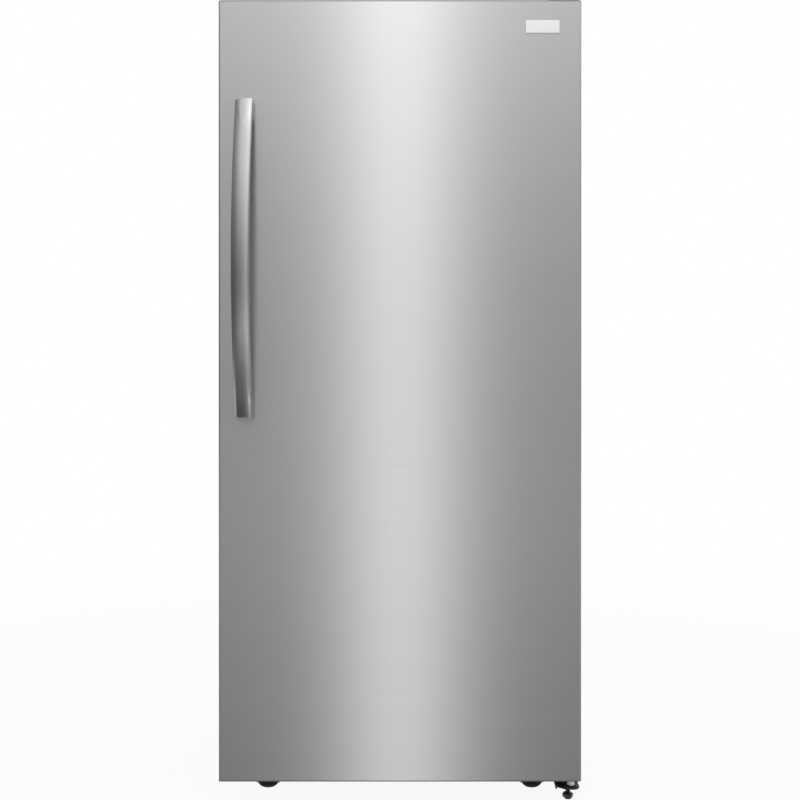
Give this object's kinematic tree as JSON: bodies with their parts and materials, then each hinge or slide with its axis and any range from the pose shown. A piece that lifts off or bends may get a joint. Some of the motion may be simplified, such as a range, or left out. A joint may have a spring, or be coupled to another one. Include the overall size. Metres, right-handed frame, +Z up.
{
  "type": "single door refrigerator",
  "caption": "Upright stainless steel refrigerator with one full-height hinged door, a bowed vertical handle, glass shelves, crisper drawers and door bins.",
  "frame": {"origin": "on the floor, in the middle of the overall footprint over the door and handle", "axes": "+Z up; the door faces -Y; the hinges are on the +X side, on the right seen from the front"},
  "size_m": [0.838, 0.74, 1.885],
  "materials": {
    "stainless": "brushed, vertical sheen",
    "badge_metal": "satin",
    "dark_plastic": "satin",
    "side_paint": "fine textured",
    "plated_steel": "zinc plated",
    "black_steel": "semi-gloss",
    "bright_steel": "zinc plated",
    "foam": "rigid foam",
    "white_liner": "smooth moulded",
    "gasket": "matte",
    "nylon": "smooth",
    "black_rubber": "matte",
    "roller_plastic": "matte",
    "coil_metal": "mill",
    "coil_paint": "semi-gloss",
    "copper": "drawn",
    "motor_plastic": "matte",
    "fan_plastic": "satin",
    "pan_plastic": "matte",
    "lens": "frosted",
    "knob_plastic": "satin",
    "shelf_paint": "gloss",
    "shelf_glass": "clear",
    "cover_plastic": "smooth",
    "clear_plastic": "clear"
  },
  "bodies": {
    "cabinet": {"side_panel_right": "side_paint", "side_panel_left": "side_paint", "top_panel": "side_paint", "back_panel": "plated_steel", "base_deck": "plated_steel", "front_rail": "black_steel", "compressor_tray": "plated_steel", "cabinet_insulation": "foam", "inner_liner": "white_liner", "roller_axles": "bright_steel", "top_hinge_bracket": "black_steel", "top_hinge_cover": "dark_plastic", "hinge_screws": "bright_steel", "bottom_hinge_bracket": "black_steel", "hinge_washer": "nylon", "evaporator_cover": "white_liner", "evaporator_coil": "coil_metal", "evaporator_fan_motor": "motor_plastic", "compressor": "coil_paint", "compressor_mounts": "black_rubber", "condenser_coil": "coil_paint", "condenser_fan_motor": "motor_plastic", "drain_pan": "pan_plastic", "refrigerant_lines": "copper", "machine_cover": "plated_steel", "control_panel": "white_liner", "light_lens": "lens", "shelf_tracks": "shelf_paint", "shelf_frames": "shelf_paint", "shelf_glass": "shelf_glass", "crisper_cover": "cover_plastic"},
    "door": {"door_outer_panel": "stainless", "door_end_cap_top": "dark_plastic", "door_end_cap_bottom": "dark_plastic", "door_insulation": "foam", "door_liner": "white_liner", "door_gasket": "gasket", "door_bushings": "nylon", "door_stop": "dark_plastic", "handle_bar": "stainless", "handle_studs": "bright_steel", "badge_plate": "badge_metal"},
    "bin_1": {"door_bin_1": "clear_plastic"},
    "bin_2": {"door_bin_2": "clear_plastic"},
    "bin_3": {"door_bin_3": "clear_plastic"},
    "bin_4": {"door_bin_4": "clear_plastic"},
    "right_crisper": {"crisper_right": "clear_plastic"},
    "right_humidity_slider": {"humidity_slider_right": "knob_plastic"},
    "left_crisper": {"crisper_left": "clear_plastic"},
    "left_humidity_slider": {"humidity_slider_left": "knob_plastic"},
    "light_switch": {"light_switch_plunger": "knob_plastic"},
    "thermostat_knob": {"temperature_knob": "knob_plastic"},
    "evaporator_fan": {"evaporator_fan_blade": "fan_plastic"},
    "condenser_fan": {"condenser_fan_blade": "fan_plastic"},
    "front_left_roller": {"roller_front_left": "roller_plastic"},
    "front_right_roller": {"roller_front_right": "roller_plastic"},
    "rear_left_roller": {"roller_rear_left": "roller_plastic"},
    "rear_right_roller": {"roller_rear_right": "roller_plastic"},
    "foot_pad": {"leg_pad": "black_rubber"},
    "levelling_leg": {"leveling_leg": "bright_steel"}
  },
  "joints": [
    {"name": "door_hinge", "type": "hinge", "parent": "cabinet", "child": "door", "pos_m": [0.3994, -0.274, 0.96], "axis": [0, 0, 1], "range_deg": [0, 125]},
    {"name": "bin_1_lift", "type": "slide", "parent": "door", "child": "bin_1", "axis": [0, 0, 1], "range_m": [0, 0.045]},
    {"name": "bin_2_lift", "type": "slide", "parent": "door", "child": "bin_2", "axis": [0, 0, 1], "range_m": [0, 0.045]},
    {"name": "bin_3_lift", "type": "slide", "parent": "door", "child": "bin_3", "axis": [0, 0, 1], "range_m": [0, 0.045]},
    {"name": "bin_4_lift", "type": "slide", "parent": "door", "child": "bin_4", "axis": [0, 0, 1], "range_m": [0, 0.045]},
    {"name": "right_crisper_slide", "type": "slide", "parent": "cabinet", "child": "right_crisper", "axis": [0, -1, 0], "range_m": [0, 0.24]},
    {"name": "right_humidity_slide", "type": "slide", "parent": "cabinet", "child": "right_humidity_slider", "axis": [1, 0, 0], "range_m": [-0.018, 0.018]},
    {"name": "left_crisper_slide", "type": "slide", "parent": "cabinet", "child": "left_crisper", "axis": [0, -1, 0], "range_m": [0, 0.24]},
    {"name": "left_humidity_slide", "type": "slide", "parent": "cabinet", "child": "left_humidity_slider", "axis": [1, 0, 0], "range_m": [-0.018, 0.018]},
    {"name": "light_switch_travel", "type": "slide", "parent": "cabinet", "child": "light_switch", "axis": [0, -1, 0], "range_m": [0, 0.006]},
    {"name": "thermostat_turn", "type": "hinge", "parent": "cabinet", "child": "thermostat_knob", "pos_m": [0, -0.17, 1.771], "axis": [0, -1, 0], "range_deg": [0, 270]},
    {"name": "evaporator_fan_spin", "type": "hinge", "parent": "cabinet", "child": "evaporator_fan", "pos_m": [0, 0.264, 0.765], "axis": [0, 1, 0], "continuous": true},
    {"name": "condenser_fan_spin", "type": "hinge", "parent": "cabinet", "child": "condenser_fan", "pos_m": [-0.008, 0.287, 0.133], "axis": [1, 0, 0], "continuous": true},
    {"name": "front_left_roll", "type": "hinge", "parent": "cabinet", "child": "front_left_roller", "pos_m": [-0.319, -0.1915, 0.02], "axis": [1, 0, 0], "continuous": true},
    {"name": "front_right_roll", "type": "hinge", "parent": "cabinet", "child": "front_right_roller", "pos_m": [0.319, -0.1915, 0.02], "axis": [1, 0, 0], "continuous": true},
    {"name": "rear_left_roll", "type": "hinge", "parent": "cabinet", "child": "rear_left_roller", "pos_m": [-0.35, 0.32, 0.02], "axis": [1, 0, 0], "continuous": true},
    {"name": "rear_right_roll", "type": "hinge", "parent": "cabinet", "child": "rear_right_roller", "pos_m": [0.35, 0.32, 0.02], "axis": [1, 0, 0], "continuous": true},
    {"name": "leg_travel", "type": "slide", "parent": "cabinet", "child": "foot_pad", "axis": [0, 0, -1], "range_m": [0, 0.009]},
    {"name": "leg_turn", "type": "hinge", "parent": "foot_pad", "child": "levelling_leg", "pos_m": [0.3955, -0.256, 0.01], "axis": [0, 0, -1], "range_deg": [0, 2160]}
  ],
  "couplings": [
    {"joint": "right_crisper_slide", "follows": "door_hinge", "m_per_rad": 0.11},
    {"joint": "left_crisper_slide", "follows": "door_hinge", "m_per_rad": 0.11},
    {"joint": "light_switch_travel", "follows": "door_hinge", "m_per_rad": 0.00275},
    {"joint": "leg_travel", "follows": "leg_turn", "m_per_rad": 0.00023873}
  ]
}
